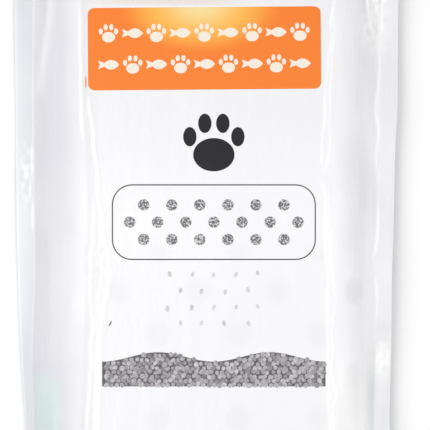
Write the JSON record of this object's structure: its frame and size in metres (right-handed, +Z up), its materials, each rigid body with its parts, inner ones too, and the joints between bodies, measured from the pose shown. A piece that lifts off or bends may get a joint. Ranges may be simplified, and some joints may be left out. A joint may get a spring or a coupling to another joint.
{
  "type": "sealed pack of sifting litter box liners",
  "caption": "Sealed flat film pouch that holds a stack of folded, perforated litter box liners, lying on its back with its printed side up.",
  "frame": {"origin": "on the table, under the middle of the pouch's flat outline", "axes": "+X to the right and +Y towards the head of the printed side, +Z up out of the printed side"},
  "size_m": [0.2, 0.32, 0.0167],
  "materials": {
    "film": "milky white polythene film, glossy, with orange, grey and charcoal print"
  },
  "bodies": {
    "root": {"liner_pack": "film"}
  },
  "joints": []
}
